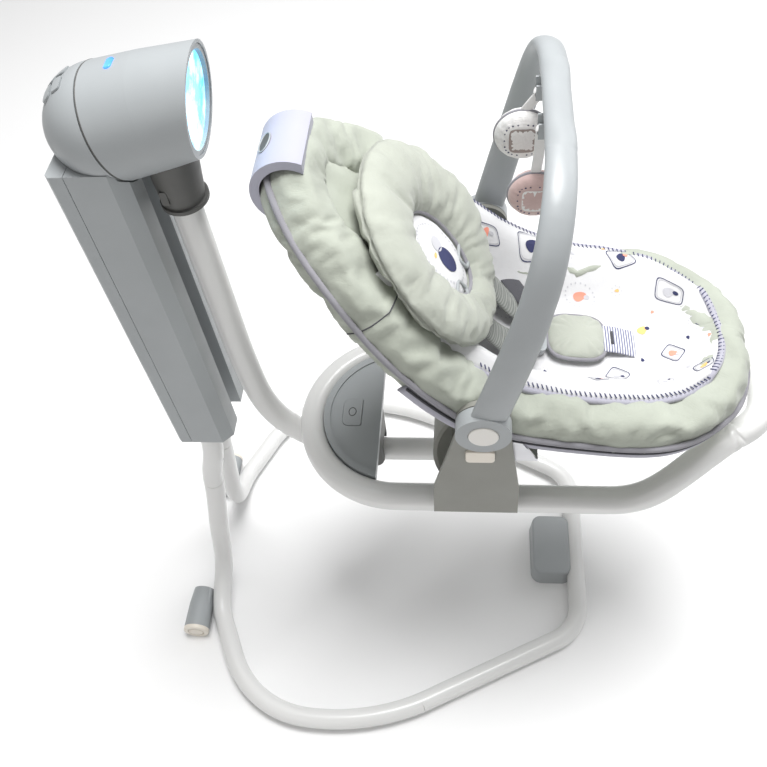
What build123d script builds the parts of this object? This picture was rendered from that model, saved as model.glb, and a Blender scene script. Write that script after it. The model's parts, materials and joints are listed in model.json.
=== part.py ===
"""Baby swing with a lift-off rocker seat, as separate pieces.

Millimetres. The origin is on the floor at the middle of the stand, +X points to the
foot end of the seat, +Y to the sitter's left, +Z up. Left is +Y and right is -Y.
"""
from build123d import *
import os
from math import cos, radians, sin

os.makedirs("parts", exist_ok=True)

SIDES = (("left", 1), ("right", -1))

# ---- stand ----
TUBE_R = 13.5
TUBE_WALL = 1.6
FLOOR_TUBE_Z = 17.0
LEG_Y = 31.0
LEG_X = -212.0
SEAM_X = -237.0
SEAM_Z = 262.0
STAND_HALF_WIDTH = 272.0
FRONT_TUBE_X = 272.0
SIDE_JOINT = (45.0, 245.0)
PIN_Z = 236.0
FOOT_R = 19.0
FOOT_X = -302.0

# ---- leg housings ----
HOUSING_BOTTOM_Z = 386.0
HOUSING_TOP_Z = 800.0
HOUSING_BACK_X = -246.0
HOUSING_SPLIT_X = -229.0
HOUSING_FRONT_X = -178.0
HOUSING_INNER_Y = 13.0
HOUSING_OUTER_Y = 49.0

# ---- head: everything is turned about the swing axis ----
HEAD_TILT = 13.2
HEAD_X = -190.0
HEAD_Z = 820.0
HEAD_R = 51.5
HEAD_FRONT_R = 44.0
HEAD_WALL = 2.6
DOME_LENGTH = 60.0
BARREL_LENGTH = 104.0
SEAM_GAP = 1.0
LAMP_AT = 84.0
LAMP_TILT = -6.7
AXLE_R = 6.0

# ---- swing arm ----
ARM_X = -152.0
ARM_R = 15.0
COLLAR_Z = 733.0
ARM_DOCK_Z = 300.0
ARM_END_X = 82.0

# ---- rocker ----
LOOP_Z = 372.0
LOOP_HALF = 112.0
LOOP_REAR_CENTRE_X = 28.0
LOOP_RAIL_END_X = 270.0
LOOP_FRONT_X = 440.0
LOOP_FRONT_Z = 450.0
LOOP_SIZE = 30.0
PANEL_EDGE_X = 3.0
HUB_X = 129.0
HUB_Z = 570.0
HUB_R = 27.0
BRACKET_Y = (133.5, 139.0)
BAR_Y = 148.0

# ---- seat ----
BORDER_R = 26.0
PIVOT_R = 8.0
SEAT_Y = 103.0
DECK_HALF = 70.0
PAD_HALF = 67.0

# ---- toys that hang under the toy bar: number, forward, across, radius, height of the middle ----
TOYS = ((1, 162, 38, 24, 767), (2, 172, -14, 22, 743))
TOY_PIN_X = 174.0
TOY_PIN_Z = 809.0

# ---- half way from the rear feet to the front of the rocker ----
FOOTPRINT_MIDDLE_X = 67.5

AXIS_X = cos(radians(HEAD_TILT))
AXIS_Z = sin(radians(HEAD_TILT))
head_origin = Vector(HEAD_X, 0, HEAD_Z)
head_dir = Vector(AXIS_X, 0, AXIS_Z)
head_axis = Axis(head_origin, head_dir)
# in turn_plane, x runs forward along the swing axis and y is the radius
turn_plane = Plane(origin=head_origin, x_dir=head_dir, z_dir=(0, -1, 0))
# in face_plane, x runs left, y up and z forward along the swing axis
face_plane = Plane(origin=head_origin, x_dir=(0, 1, 0), z_dir=head_dir)


def finish(builder, name):
    """Move one finished piece so that the origin is mid-footprint, label it and write it."""
    piece = builder.part.moved(Location((-FOOTPRINT_MIDDLE_X, 0, 0)))
    piece.label = name
    export_step(piece, f"parts/{name}.step")


def across(x, y, z, sign=1):
    """Plane at a point, x forward, z outward across the object, so its y runs down on the left."""
    return Plane(origin=(x, sign * y, z), x_dir=(1, 0, 0), z_dir=(0, sign, 0))


def turned(outline):
    """Solid of revolution about the swing axis, from (along, radius) points."""
    with BuildPart() as body:
        with BuildSketch(turn_plane):
            with BuildLine():
                Polyline(*outline, close=True)
            make_face()
        revolve(axis=head_axis)
    return body.part


def dome_solid(grow):
    """The rear dome as a full solid, grown by a margin."""
    end = -DOME_LENGTH - grow
    with BuildPart() as body:
        with BuildSketch(turn_plane):
            with BuildLine():
                ThreePointArc((end, 0), (end + 5.5, 21), (end + 20, 38 + grow))
                ThreePointArc((end + 20, 38 + grow), (-24, 48 + grow), (-SEAM_GAP, HEAD_R + grow))
                Line((-SEAM_GAP, HEAD_R + grow), (-SEAM_GAP, 0))
                Line((-SEAM_GAP, 0), (end, 0))
            make_face()
        revolve(axis=head_axis)
    return body.part


def barrel_solid(grow, start=SEAM_GAP, length=BARREL_LENGTH):
    """The turning barrel as a full tapered solid, grown by a margin."""
    return turned(
        (
            (start, 0),
            (start, HEAD_R + grow),
            (45, HEAD_R - 2.2 + grow),
            (length, HEAD_FRONT_R + grow),
            (length, 0),
        )
    )


def lamp_slab(front, back):
    """Slab across the tilted lamp opening, between two depths behind its rim."""
    centre = head_origin + head_dir * LAMP_AT
    normal = Vector(cos(radians(LAMP_TILT)), 0, sin(radians(LAMP_TILT)))
    with BuildPart() as body:
        with BuildSketch(Plane(origin=centre - normal * back, z_dir=normal)):
            Rectangle(200, 200)
        extrude(amount=back - front)
    return body.part


def tube_along(route, radius, wall=0.0):
    """Round tube swept along a route."""
    with BuildPart() as body:
        with BuildSketch(Plane(origin=route @ 0, z_dir=route % 0)):
            Circle(radius)
            if wall > 0:
                Circle(radius - wall, mode=Mode.SUBTRACT)
        sweep(path=route)
    return body.part


def side_tube_route(sign):
    """Centre line of a lower leg that turns outward along the floor."""
    ankle_end = (-262, sign * 135, FLOOR_TUBE_Z)
    corner = (-236, sign * 190, FLOOR_TUBE_Z)
    widest = (-119, sign * STAND_HALF_WIDTH, FLOOR_TUBE_Z)
    joint = (SIDE_JOINT[0], sign * SIDE_JOINT[1], FLOOR_TUBE_Z)
    with BuildLine() as route:
        Spline(
            (SEAM_X, sign * LEG_Y, SEAM_Z),
            (-256, sign * 45, 140),
            (-269, sign * 72, 42),
            ankle_end,
            tangents=((-0.12, 0.06 * sign, -1), (0.43, 0.905 * sign, 0)),
        )
        Line(ankle_end, corner)
        turn = TangentArc(corner, widest, tangent=(0.43, 0.905 * sign, 0))
        TangentArc(widest, joint, tangent=turn % 1)
    return route.wires()[0]


def front_tube_route():
    """Centre line of the front cross tube."""
    x, y = SIDE_JOINT
    with BuildLine() as route:
        FilletPolyline(
            (x, y, FLOOR_TUBE_Z),
            (FRONT_TUBE_X, 130, FLOOR_TUBE_Z),
            (FRONT_TUBE_X, -130, FLOOR_TUBE_Z),
            (x, -y, FLOOR_TUBE_Z),
            radius=60,
        )
    return route.wires()[0]


def arm_route():
    """Centre line of the swing arm, from the collar to its docking end."""
    with BuildLine() as route:
        Line((ARM_X, 0, 771), (ARM_X + 2, 0, 545))
        Spline(
            (ARM_X + 2, 0, 545),
            (-147, 0, 462),
            (-124, 0, 366),
            (-64, 0, 311),
            (0, 0, ARM_DOCK_Z),
            tangents=((0.01, 0, -1), (1, 0, 0)),
        )
        Line((0, 0, ARM_DOCK_Z), (ARM_END_X, 0, ARM_DOCK_Z))
    return route.wires()[0]


BORDER_POINTS = (
    (-40, 0, 766),
    (-40, 40, 766),
    (-20, 76, 745),
    (6, 97, 710),
    (48, SEAT_Y, 648),
    (98, SEAT_Y, 586),
    (145, SEAT_Y, 545),
    (225, SEAT_Y, 522),
    (310, 98, 512),
    (362, 64, 507),
    (382, 24, 505),
    (382, 0, 505),
)


def border_solid(radius):
    """The padded border, as straight rolls with round corners."""
    with BuildPart() as half:
        for start, end in zip(BORDER_POINTS, BORDER_POINTS[1:]):
            run = Vector(*end) - Vector(*start)
            with BuildSketch(Plane(origin=start, z_dir=run)):
                Circle(radius)
            extrude(amount=run.length)
        for corner in BORDER_POINTS[1:-1]:
            with Locations(corner):
                Sphere(radius)
    return mirrored(half.part)


def mirrored(half):
    """A half and its mirror image across the object, as one solid."""
    with BuildPart() as body:
        add(half)
        mirror(about=Plane.XZ)
    return body.part


dome_outer = dome_solid(0)
barrel_outer = barrel_solid(0)
barrel_sweep = barrel_solid(1.5, start=-1.5, length=140)

# =====================  stand  =====================
for side, sign in SIDES:
    route = side_tube_route(sign)
    with BuildPart() as base_tube:
        add(tube_along(route, TUBE_R, TUBE_WALL))
        with BuildSketch(across(-242, 0, PIN_Z, sign)):
            Circle(3.8)
        extrude(amount=33, mode=Mode.SUBTRACT)
    finish(base_tube, f"base_tube_{side}")

    with BuildPart() as leg_tube:
        with BuildLine() as leg_route:
            Line((LEG_X, sign * LEG_Y, 765), (LEG_X, sign * LEG_Y, 400))
            Spline(
                (LEG_X, sign * LEG_Y, 400),
                (-219, sign * LEG_Y, 335),
                (SEAM_X, sign * LEG_Y, SEAM_Z + 1),
                tangents=((0, 0, -1), (-0.12, 0.06 * sign, -1)),
            )
        add(tube_along(leg_route.wires()[0], TUBE_R, TUBE_WALL))
    finish(leg_tube, f"leg_tube_{side}")

    with BuildPart() as snap_pin:
        with BuildSketch(across(-242, 16, PIN_Z, sign)):
            Circle(3.4)
        extrude(amount=9)
        fillet(snap_pin.edges().group_by(Axis.Y)[0 if sign > 0 else -1], 1.2)
    finish(snap_pin, f"leg_snap_pin_{side}")

    with BuildPart() as rear_foot:
        with BuildSketch(across(FOOT_X, 88, FOOT_R, sign)):
            Circle(15.5)
        with BuildSketch(across(FOOT_X, 112, FOOT_R, sign)):
            Circle(FOOT_R - 1)
        loft()
        with BuildSketch(across(FOOT_X, 112, FOOT_R, sign)):
            Circle(FOOT_R - 1)
        with BuildSketch(across(FOOT_X, 150, FOOT_R, sign)):
            Circle(FOOT_R)
        loft()
        with BuildSketch(across(FOOT_X + 8, 90, FOOT_R, sign)):
            RectangleRounded(16, 24, 4)
        extrude(amount=24)
    finish(rear_foot, f"rear_foot_{side}")

    with BuildPart() as foot_cap:
        with BuildSketch(across(FOOT_X, 150.1, FOOT_R, sign)):
            Circle(FOOT_R)
        extrude(amount=6)
        fillet(foot_cap.edges().group_by(Axis.Y)[-1 if sign > 0 else 0], 2.5)
        with BuildSketch(across(FOOT_X, 153.5, FOOT_R, sign)):
            Circle(FOOT_R - 7)
            Circle(FOOT_R - 8.5, mode=Mode.SUBTRACT)
        extrude(amount=4, mode=Mode.SUBTRACT)
    finish(foot_cap, f"rear_foot_cap_{side}")

with BuildPart() as front_cross_tube:
    add(tube_along(front_tube_route(), TUBE_R, TUBE_WALL))
finish(front_cross_tube, "front_cross_tube")

with BuildPart() as front_foot:
    with BuildSketch(Plane.XY):
        with Locations((236, 0)):
            RectangleRounded(62, 104, 16)
    extrude(amount=30, taper=6)
    fillet(front_foot.faces().sort_by(Axis.Z)[-1].edges(), 4)
    with Locations((FRONT_TUBE_X, 0, FLOOR_TUBE_Z)):
        Cylinder(TUBE_R + 0.2, 140, rotation=(90, 0, 0), mode=Mode.SUBTRACT)
finish(front_foot, "front_foot")

# =====================  leg housings  =====================


def housing_blank(sign):
    """Outer shape of one leg housing: a tall tapered block with a bevelled foot."""
    middle_y = (HOUSING_INNER_Y + HOUSING_OUTER_Y) / 2
    depth = HOUSING_FRONT_X - HOUSING_BACK_X
    width = HOUSING_OUTER_Y - HOUSING_INNER_Y
    with BuildPart() as blank:
        with BuildSketch(Plane.XY.offset(HOUSING_BOTTOM_Z)):
            with Locations((HOUSING_BACK_X + depth / 2, sign * middle_y)):
                Rectangle(depth, width)
        extrude(amount=HOUSING_TOP_Z - HOUSING_BOTTOM_Z)
        # the front edge slopes back to the head at the top and to the tube at the bottom
        with BuildSketch(across(0, 0, 0, sign)):
            with BuildLine():
                Polyline(
                    (HOUSING_FRONT_X + 4, sign * 690),
                    (HOUSING_FRONT_X + 4, sign * 830),
                    (-198, sign * 830),
                    (-198, sign * 790),
                    close=True,
                )
            make_face()
            with BuildLine():
                Polyline(
                    (HOUSING_FRONT_X + 4, sign * 436),
                    (HOUSING_FRONT_X + 4, sign * 380),
                    (-222, sign * 380),
                    (-222, sign * 386),
                    close=True,
                )
            make_face()
        extrude(amount=80, mode=Mode.SUBTRACT)
        upright = blank.edges().filter_by(Axis.Z)
        chamfer(upright.group_by(Axis.Y)[-1 if sign > 0 else 0].sort_by(Axis.X)[-1], 12)
        chamfer(blank.edges().filter_by(Axis.Z).sort_by(Axis.X)[0:2], 4)
        with BuildSketch(Plane.XY.offset(380)):
            with Locations((LEG_X, sign * LEG_Y)):
                Circle(TUBE_R + 0.3)
        extrude(amount=386, mode=Mode.SUBTRACT)
        add(dome_solid(0.3), mode=Mode.SUBTRACT)
        add(barrel_sweep, mode=Mode.SUBTRACT)
    return blank.part


for side, sign in SIDES:
    blank = housing_blank(sign)
    with BuildPart() as leg_housing:
        add(blank)
        split(bisect_by=Plane.YZ.offset(HOUSING_SPLIT_X + 0.3), keep=Keep.TOP)
        with BuildSketch(Plane.XY.offset(HOUSING_BOTTOM_Z + 50)):
            with Locations((-191, sign * 31)):
                Rectangle(12, 22)
        extrude(amount=230, mode=Mode.SUBTRACT)
    finish(leg_housing, f"leg_housing_{side}")

    with BuildPart() as leg_rear_cover:
        add(blank)
        split(bisect_by=Plane.YZ.offset(HOUSING_SPLIT_X - 0.3), keep=Keep.BOTTOM)
        with Locations((HOUSING_BACK_X, sign * 31, 460), (HOUSING_BACK_X, sign * 31, 700)):
            Cylinder(3.4, 12, rotation=(0, 90, 0), mode=Mode.SUBTRACT)
    finish(leg_rear_cover, f"leg_rear_cover_{side}")

with BuildPart() as housing_screws:
    for side, sign in SIDES:
        for z in (460, 700):
            with Locations((HOUSING_BACK_X + 3.8, sign * 31, z)):
                Cylinder(3.0, 3.6, rotation=(0, 90, 0))
            with Locations((HOUSING_BACK_X + 2.0, sign * 31, z)):
                Box(1.2, 4, 1, mode=Mode.SUBTRACT)
finish(housing_screws, "housing_screws")

# =====================  head, fixed part  =====================
BUTTON_SPOTS = ((-33, -9), (-33, 9), (-20, -9), (-20, 9))


def button_plane(along, over):
    """Plane on the top of the dome, facing up across the swing axis."""
    up = Vector(-AXIS_Z, 0, AXIS_X)
    height = 45.0 if along < -30 else 47.6
    spot = head_origin + head_dir * along + Vector(0, over, 0) + up * height
    return Plane(origin=spot, x_dir=head_dir, z_dir=up)


with BuildPart() as head_rear_shell:
    add(dome_outer)
    add(dome_solid(-HEAD_WALL), mode=Mode.SUBTRACT)
    with BuildSketch(face_plane.offset(-SEAM_GAP)):
        Circle(HEAD_R - HEAD_WALL)
    extrude(amount=-8, mode=Mode.SUBTRACT)
    # a web carries the two axle bearings
    with BuildSketch(face_plane.offset(-12)):
        Circle(47.5)
        Circle(13.2, mode=Mode.SUBTRACT)
        with Locations((30, -14)):
            Circle(8, mode=Mode.SUBTRACT)
    extrude(amount=-3)
    with BuildSketch(face_plane.offset(-48)):
        Circle(26)
        Circle(13.2, mode=Mode.SUBTRACT)
    extrude(amount=-3)
    for along, over in BUTTON_SPOTS:
        with BuildSketch(button_plane(along, over).offset(-14)):
            RectangleRounded(10.4, 14.4, 3.2)
        extrude(amount=24, mode=Mode.SUBTRACT)
shell = head_rear_shell.part.solids().sort_by(SortBy.VOLUME)[-1]
with BuildPart() as head_rear_shell:
    add(shell)
finish(head_rear_shell, "head_rear_shell")

for number, (along, over) in enumerate(BUTTON_SPOTS, start=1):
    with BuildPart() as control_button:
        with BuildSketch(button_plane(along, over).offset(-9)):
            RectangleRounded(9.6, 13.6, 2.8)
        extrude(amount=16)
        add(dome_solid(1.7), mode=Mode.INTERSECT)
    finish(control_button, f"control_button_{number}")

with BuildPart() as axle_bearings:
    for depth in (-10.5, -46.5):
        with BuildSketch(face_plane.offset(depth)):
            Circle(13)
            Circle(AXLE_R + 0.1, mode=Mode.SUBTRACT)
        extrude(amount=-5.5)
finish(axle_bearings, "axle_bearings")

with BuildPart() as swing_motor:
    with BuildSketch(face_plane.offset(-15.3)):
        with Locations((30, -14)):
            Circle(11)
            with Locations((14.5, 0), (-14.5, 0)):
                Circle(2)
            Rectangle(29, 4)
    extrude(amount=-1.5)
    with BuildSketch(face_plane.offset(-16.8)):
        with Locations((30, -14)):
            Circle(11)
    extrude(amount=-21)
motor_body = swing_motor.part
with BuildPart() as swing_motor:
    add(motor_body)
    add(dome_solid(-HEAD_WALL - 0.3), mode=Mode.INTERSECT)
finish(swing_motor, "swing_motor")

with BuildPart() as circuit_board:
    with BuildSketch(face_plane.offset(-17)):
        with Locations((-26, -4)):
            Rectangle(24, 40)
    extrude(amount=-1.6)
finish(circuit_board, "circuit_board")

# =====================  head, turning part and arm  =====================
with BuildPart() as head_front_shell:
    add(barrel_outer)
    add(barrel_solid(-3.0, start=4.5, length=BARREL_LENGTH + 1), mode=Mode.SUBTRACT)
    add(lamp_slab(-60, 0), mode=Mode.SUBTRACT)
    with BuildSketch(face_plane.offset(-2)):
        Circle(AXLE_R + 0.1)
    extrude(amount=12, mode=Mode.SUBTRACT)
    with BuildSketch(Plane(origin=head_origin + head_dir * 28, z_dir=(-AXIS_Z, 0, AXIS_X))):
        RectangleRounded(7.4, 15.4, 3.5)
    extrude(amount=60, mode=Mode.SUBTRACT)
finish(head_front_shell, "head_front_shell")

with BuildPart() as status_light:
    with BuildSketch(Plane(origin=head_origin + head_dir * 28, z_dir=(-AXIS_Z, 0, AXIS_X)).offset(46)):
        RectangleRounded(7, 15, 3.3)
    extrude(amount=5)
    fillet(status_light.faces().sort_by(Axis.Z)[-1].edges(), 1.2)
finish(status_light, "status_light")

with BuildPart() as lamp_bezel:
    add(barrel_solid(-3.2, start=40))
    add(barrel_solid(-7.0, start=30, length=BARREL_LENGTH + 1), mode=Mode.SUBTRACT)
    add(lamp_slab(1.0, 5.0), mode=Mode.INTERSECT)
finish(lamp_bezel, "lamp_bezel")

with BuildPart() as lamp_lens:
    add(barrel_solid(-3.4, start=40))
    add(lamp_slab(5.1, 8.1), mode=Mode.INTERSECT)
finish(lamp_lens, "lamp_lens")

with BuildPart() as lamp_reflector:
    add(turned(((34, 0), (34, 12), (57, 36), (57, 34), (36, 10.5), (36, 0))))
    with BuildSketch(face_plane.offset(33)):
        Circle(44.5)
        Circle(11.5, mode=Mode.SUBTRACT)
    extrude(amount=2)
finish(lamp_reflector, "lamp_reflector")

with BuildPart() as main_axle:
    with BuildSketch(face_plane.offset(-53)):
        Circle(AXLE_R)
    extrude(amount=72)
    with BuildSketch(face_plane.offset(4.7)):
        Circle(14)
    extrude(amount=4)
finish(main_axle, "main_axle")

GEAR_R = 22.0
with BuildPart() as drive_gear:
    with BuildSketch(face_plane.offset(-22)):
        Circle(GEAR_R - 2)
        with PolarLocations(GEAR_R - 2.2, 40):
            Trapezoid(2.4, 2.2, 75, align=(Align.CENTER, Align.MIN), rotation=-90)
        Circle(AXLE_R + 0.05, mode=Mode.SUBTRACT)
        with PolarLocations(13, 5):
            Circle(3.2, mode=Mode.SUBTRACT)
    extrude(amount=-5)
finish(drive_gear, "drive_gear")

with BuildPart() as motor_pinion:
    with BuildSketch(face_plane.offset(-10)):
        with Locations((30, -14)):
            Circle(6.6)
            Circle(1.5, mode=Mode.SUBTRACT)
    extrude(amount=-5.2)
    with BuildSketch(face_plane.offset(-5)):
        with Locations((30, -14)):
            Circle(6.6)
    extrude(amount=-5)
finish(motor_pinion, "motor_pinion")

with BuildPart() as arm_collar:
    with BuildSketch(Plane.XY.offset(COLLAR_Z)):
        with Locations((ARM_X + 1, 0)):
            Ellipse(20.5, 22)
    with BuildSketch(Plane.XY.offset(COLLAR_Z + 56)):
        with Locations((ARM_X + 3, 0)):
            Ellipse(24, 29)
    loft()
    with BuildSketch(Plane.XY.offset(COLLAR_Z)):
        with Locations((ARM_X + 2, 0)):
            Ellipse(23, 25)
    extrude(amount=4)
    add(barrel_solid(0.15), mode=Mode.SUBTRACT)
    with Locations((ARM_X, 0, COLLAR_Z + 10)):
        Cylinder(ARM_R + 0.6, 90, mode=Mode.SUBTRACT)
    with BuildSketch(across(ARM_X - 7, 0, COLLAR_Z + 20, -1)):
        RectangleRounded(7.6, 15.6, 2)
    extrude(amount=40, mode=Mode.SUBTRACT)
collar_body = arm_collar.part.solids().sort_by(SortBy.VOLUME)[-1]
with BuildPart() as arm_collar:
    add(collar_body)
finish(arm_collar, "arm_collar")

with BuildPart() as collar_latch:
    with BuildSketch(across(ARM_X - 7, 17.2, COLLAR_Z + 20, -1)):
        RectangleRounded(7, 15, 1.8)
    extrude(amount=7.5)
finish(collar_latch, "collar_latch")

with BuildPart() as arm_tube:
    add(tube_along(arm_route(), ARM_R, 1.8))
    with Locations((ARM_END_X - 2, 0, ARM_DOCK_Z)):
        Cylinder(ARM_R - 1.8, 4, rotation=(0, 90, 0))
finish(arm_tube, "arm_tube")

# =====================  rocker  =====================
with BuildPart() as loop_half:
    with BuildLine() as loop_route:
        CenterArc((LOOP_REAR_CENTRE_X, 0, LOOP_Z), LOOP_HALF, 180, -90)
        Line((LOOP_REAR_CENTRE_X, LOOP_HALF, LOOP_Z), (LOOP_RAIL_END_X, LOOP_HALF, LOOP_Z))
        Spline(
            (LOOP_RAIL_END_X, LOOP_HALF, LOOP_Z),
            (336, 103, 400),
            (402, 66, 437),
            (LOOP_FRONT_X, 0, LOOP_FRONT_Z),
            tangents=((1, 0, 0), (0, -1, 0)),
        )
    with BuildSketch(Plane(origin=(LOOP_REAR_CENTRE_X - LOOP_HALF, 0, LOOP_Z), x_dir=(1, 0, 0), z_dir=(0, 1, 0))):
        RectangleRounded(LOOP_SIZE, LOOP_SIZE, 12)
    sweep(path=loop_route.wires()[0])
with BuildPart() as rocker_loop:
    add(loop_half.part)
    mirror(about=Plane.XZ)
finish(rocker_loop, "rocker_loop")

PANEL_R = LOOP_HALF - LOOP_SIZE / 2 - 0.2
PANEL_TOP_Z = LOOP_Z + 13
BUTTON_X = -34.0


def release_button_outline(grow):
    """D-shaped outline of the release button."""
    with BuildSketch(Plane.XY) as outline:
        with Locations((BUTTON_X, 0)):
            RectangleRounded(22 + 2 * grow, 40 + 2 * grow, 8 + grow)
        with Locations((BUTTON_X + 8, 0)):
            RectangleRounded(10 + 2 * grow, 40 + 2 * grow, 3)
    return outline.sketch


with BuildPart() as dock_panel:
    with BuildSketch(Plane.XY.offset(PANEL_TOP_Z - 14)):
        with Locations((LOOP_REAR_CENTRE_X, 0)):
            Circle(PANEL_R)
        with Locations((PANEL_EDGE_X + 200, 0)):
            Rectangle(400, 400, mode=Mode.SUBTRACT)
    extrude(amount=14)
    with BuildSketch(Plane.XY.offset(PANEL_TOP_Z - 2)):
        with Locations((LOOP_REAR_CENTRE_X, 0)):
            Circle(PANEL_R - 8)
    extrude(amount=6, mode=Mode.SUBTRACT)
    with BuildSketch(Plane.XY.offset(PANEL_TOP_Z - 20)):
        add(release_button_outline(0.4))
    extrude(amount=40, mode=Mode.SUBTRACT)
finish(dock_panel, "dock_panel")

with BuildPart() as release_button:
    with BuildSketch(Plane.XY.offset(PANEL_TOP_Z - 7)):
        add(release_button_outline(0))
    extrude(amount=6.5)
    fillet(release_button.faces().sort_by(Axis.Z)[-1].edges(), 0.8)
finish(release_button, "release_button")

with BuildPart() as dock_socket:
    with BuildSketch(Plane.XY.offset(PANEL_TOP_Z - 14.1)):
        with Locations((-29, 0)):
            RectangleRounded(62, 60, 10)
    extrude(amount=-66)
    with Locations((-29, 0, 300)):
        Box(80, 2 * ARM_R + 1.2, 56, mode=Mode.SUBTRACT)
finish(dock_socket, "dock_socket")

BRACKET_BASE_Z = LOOP_Z + LOOP_SIZE / 2 + 0.1
for side, sign in SIDES:
    with BuildPart() as hub_bracket:
        with BuildSketch(across(0, BRACKET_Y[0], 0, sign)):
            with BuildLine():
                Polyline(
                    (74, -sign * BRACKET_BASE_Z),
                    (168, -sign * BRACKET_BASE_Z),
                    (168, -sign * 436),
                    (154, -sign * 562),
                    (106, -sign * 562),
                    (76, -sign * 440),
                    close=True,
                )
            make_face()
            with Locations((HUB_X, -sign * HUB_Z)):
                Circle(HUB_R)
                Circle(PIVOT_R + 0.3, mode=Mode.SUBTRACT)
        extrude(amount=BRACKET_Y[1] - BRACKET_Y[0])
        with BuildSketch(Plane.XY.offset(BRACKET_BASE_Z)):
            with Locations((121, sign * 119.5)):
                Rectangle(94, 39)
        with BuildSketch(Plane.XY.offset(438)):
            with Locations((121, sign * 136)):
                Rectangle(90, 6)
        loft()
        with BuildSketch(across(HUB_X - 3, 120, 508, sign)):
            RectangleRounded(30.6, 20.6, 5)
        extrude(amount=40, mode=Mode.SUBTRACT)
    finish(hub_bracket, f"hub_bracket_{side}")

    with BuildPart() as recline_tab:
        with BuildSketch(across(HUB_X - 3, 134.2, 508, sign)):
            RectangleRounded(30, 20, 4.6)
        extrude(amount=8)
        fillet(recline_tab.edges().group_by(Axis.Y)[-1 if sign > 0 else 0], 1.5)
    finish(recline_tab, f"recline_tab_{side}")

with BuildPart() as seat_cradle:
    with BuildSketch(Plane.XZ.offset(-99)):
        with BuildLine():
            ThreePointArc((88, BRACKET_BASE_Z), (74, 446), (90, 505))
            Line((90, 505), (94, 503))
            ThreePointArc((94, 503), (78.5, 446), (92, BRACKET_BASE_Z + 4))
            Line((92, BRACKET_BASE_Z + 4), (166, BRACKET_BASE_Z + 4))
            Line((166, BRACKET_BASE_Z + 4), (166, BRACKET_BASE_Z))
            Line((166, BRACKET_BASE_Z), (88, BRACKET_BASE_Z))
        make_face()
    extrude(amount=198)
finish(seat_cradle, "seat_cradle")

# =====================  seat  =====================
PLATE_Y = (130.0, 132.8)
with BuildPart() as seat_frame:
    with Locations((150, 0, 491)):
        Box(70, 2 * PLATE_Y[1], 4)
    for side, sign in SIDES:
        with BuildSketch(across(0, PLATE_Y[0], 0, sign)):
            with BuildLine():
                Polyline(
                    (115, -sign * 489),
                    (185, -sign * 489),
                    (143, -sign * HUB_Z),
                    (115, -sign * HUB_Z),
                    close=True,
                )
            make_face()
            with Locations((HUB_X, -sign * HUB_Z)):
                Circle(15)
        extrude(amount=PLATE_Y[1] - PLATE_Y[0])
        with BuildSketch(across(HUB_X, PLATE_Y[0], HUB_Z, sign)):
            Circle(PIVOT_R)
        extrude(amount=BRACKET_Y[1] - PLATE_Y[0] - 0.3)
finish(seat_frame, "seat_frame")

with BuildPart() as seat_border:
    add(border_solid(BORDER_R))
finish(seat_border, "seat_border")


def lifted(spine, lift):
    """Points of a spine, moved to the sitter's side by a distance."""
    moved = []
    for step in range(6):
        along = spine % (step / 5)
        moved.append(spine @ (step / 5) + Vector(-along.Y, along.X) * lift)
    return moved


def seat_layer(lift, thick, half_width):
    """A layer that follows the seat from back to foot, between two offsets."""
    spine = Spline((12, 680), (70, 588), (132, 526), (215, 504), (298, 496), mode=Mode.PRIVATE)
    with BuildPart() as layer:
        with BuildSketch(Plane.XZ.offset(-half_width)):
            with BuildLine():
                low = Spline(*lifted(spine, lift))
                high = Spline(*lifted(spine, lift + thick))
                Line(low @ 0, high @ 0)
                Line(low @ 1, high @ 1)
            make_face()
        extrude(amount=2 * half_width)
    return layer.part


with BuildPart() as seat_deck:
    add(seat_layer(0, 8, DECK_HALF))
finish(seat_deck, "seat_deck")

with BuildPart() as seat_pad:
    add(seat_layer(8.4, 9, PAD_HALF))
finish(seat_pad, "seat_pad")

BACK_ANGLE = 54.0
back_along = Vector(-cos(radians(BACK_ANGLE)), 0, sin(radians(BACK_ANGLE)))
back_out = Vector(sin(radians(BACK_ANGLE)), 0, cos(radians(BACK_ANGLE)))


def on_back(up_from_hip, lift):
    """Plane on the seat back, facing the sitter, with y pointing up the back."""
    spot = Vector(132, 0, 522) + back_along * up_from_hip + back_out * lift
    return Plane(origin=spot, x_dir=(0, -1, 0), z_dir=back_out)


with BuildPart() as head_pillow:
    with BuildSketch(on_back(162, 36)):
        RectangleRounded(222, 196, 92)
    extrude(amount=26)
    fillet(head_pillow.edges().group_by(SortBy.LENGTH)[-1], 10)
finish(head_pillow, "head_pillow")

with BuildPart() as shoulder_straps:
    for over in (-30, 30):
        with BuildSketch(on_back(44, 28)):
            with Locations((over, 0)):
                RectangleRounded(22, 46, 4)
        extrude(amount=9)
finish(shoulder_straps, "shoulder_straps")

with BuildPart() as harness_buckle:
    with BuildSketch(Plane(origin=(182, 0, 532), x_dir=(0, 1, 0), z_dir=(0.35, 0, 0.94))):
        RectangleRounded(52, 24, 7)
        with Locations((0, 0)):
            SlotOverall(16, 7, mode=Mode.SUBTRACT)
    extrude(amount=9)
finish(harness_buckle, "harness_buckle")

with BuildPart() as crotch_pad:
    with BuildSketch(Plane(origin=(228, 0, 524.5), x_dir=(0, 1, 0), z_dir=(0.12, 0, 0.99))):
        RectangleRounded(56, 58, 14)
    extrude(amount=13)
finish(crotch_pad, "crotch_pad")

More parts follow.
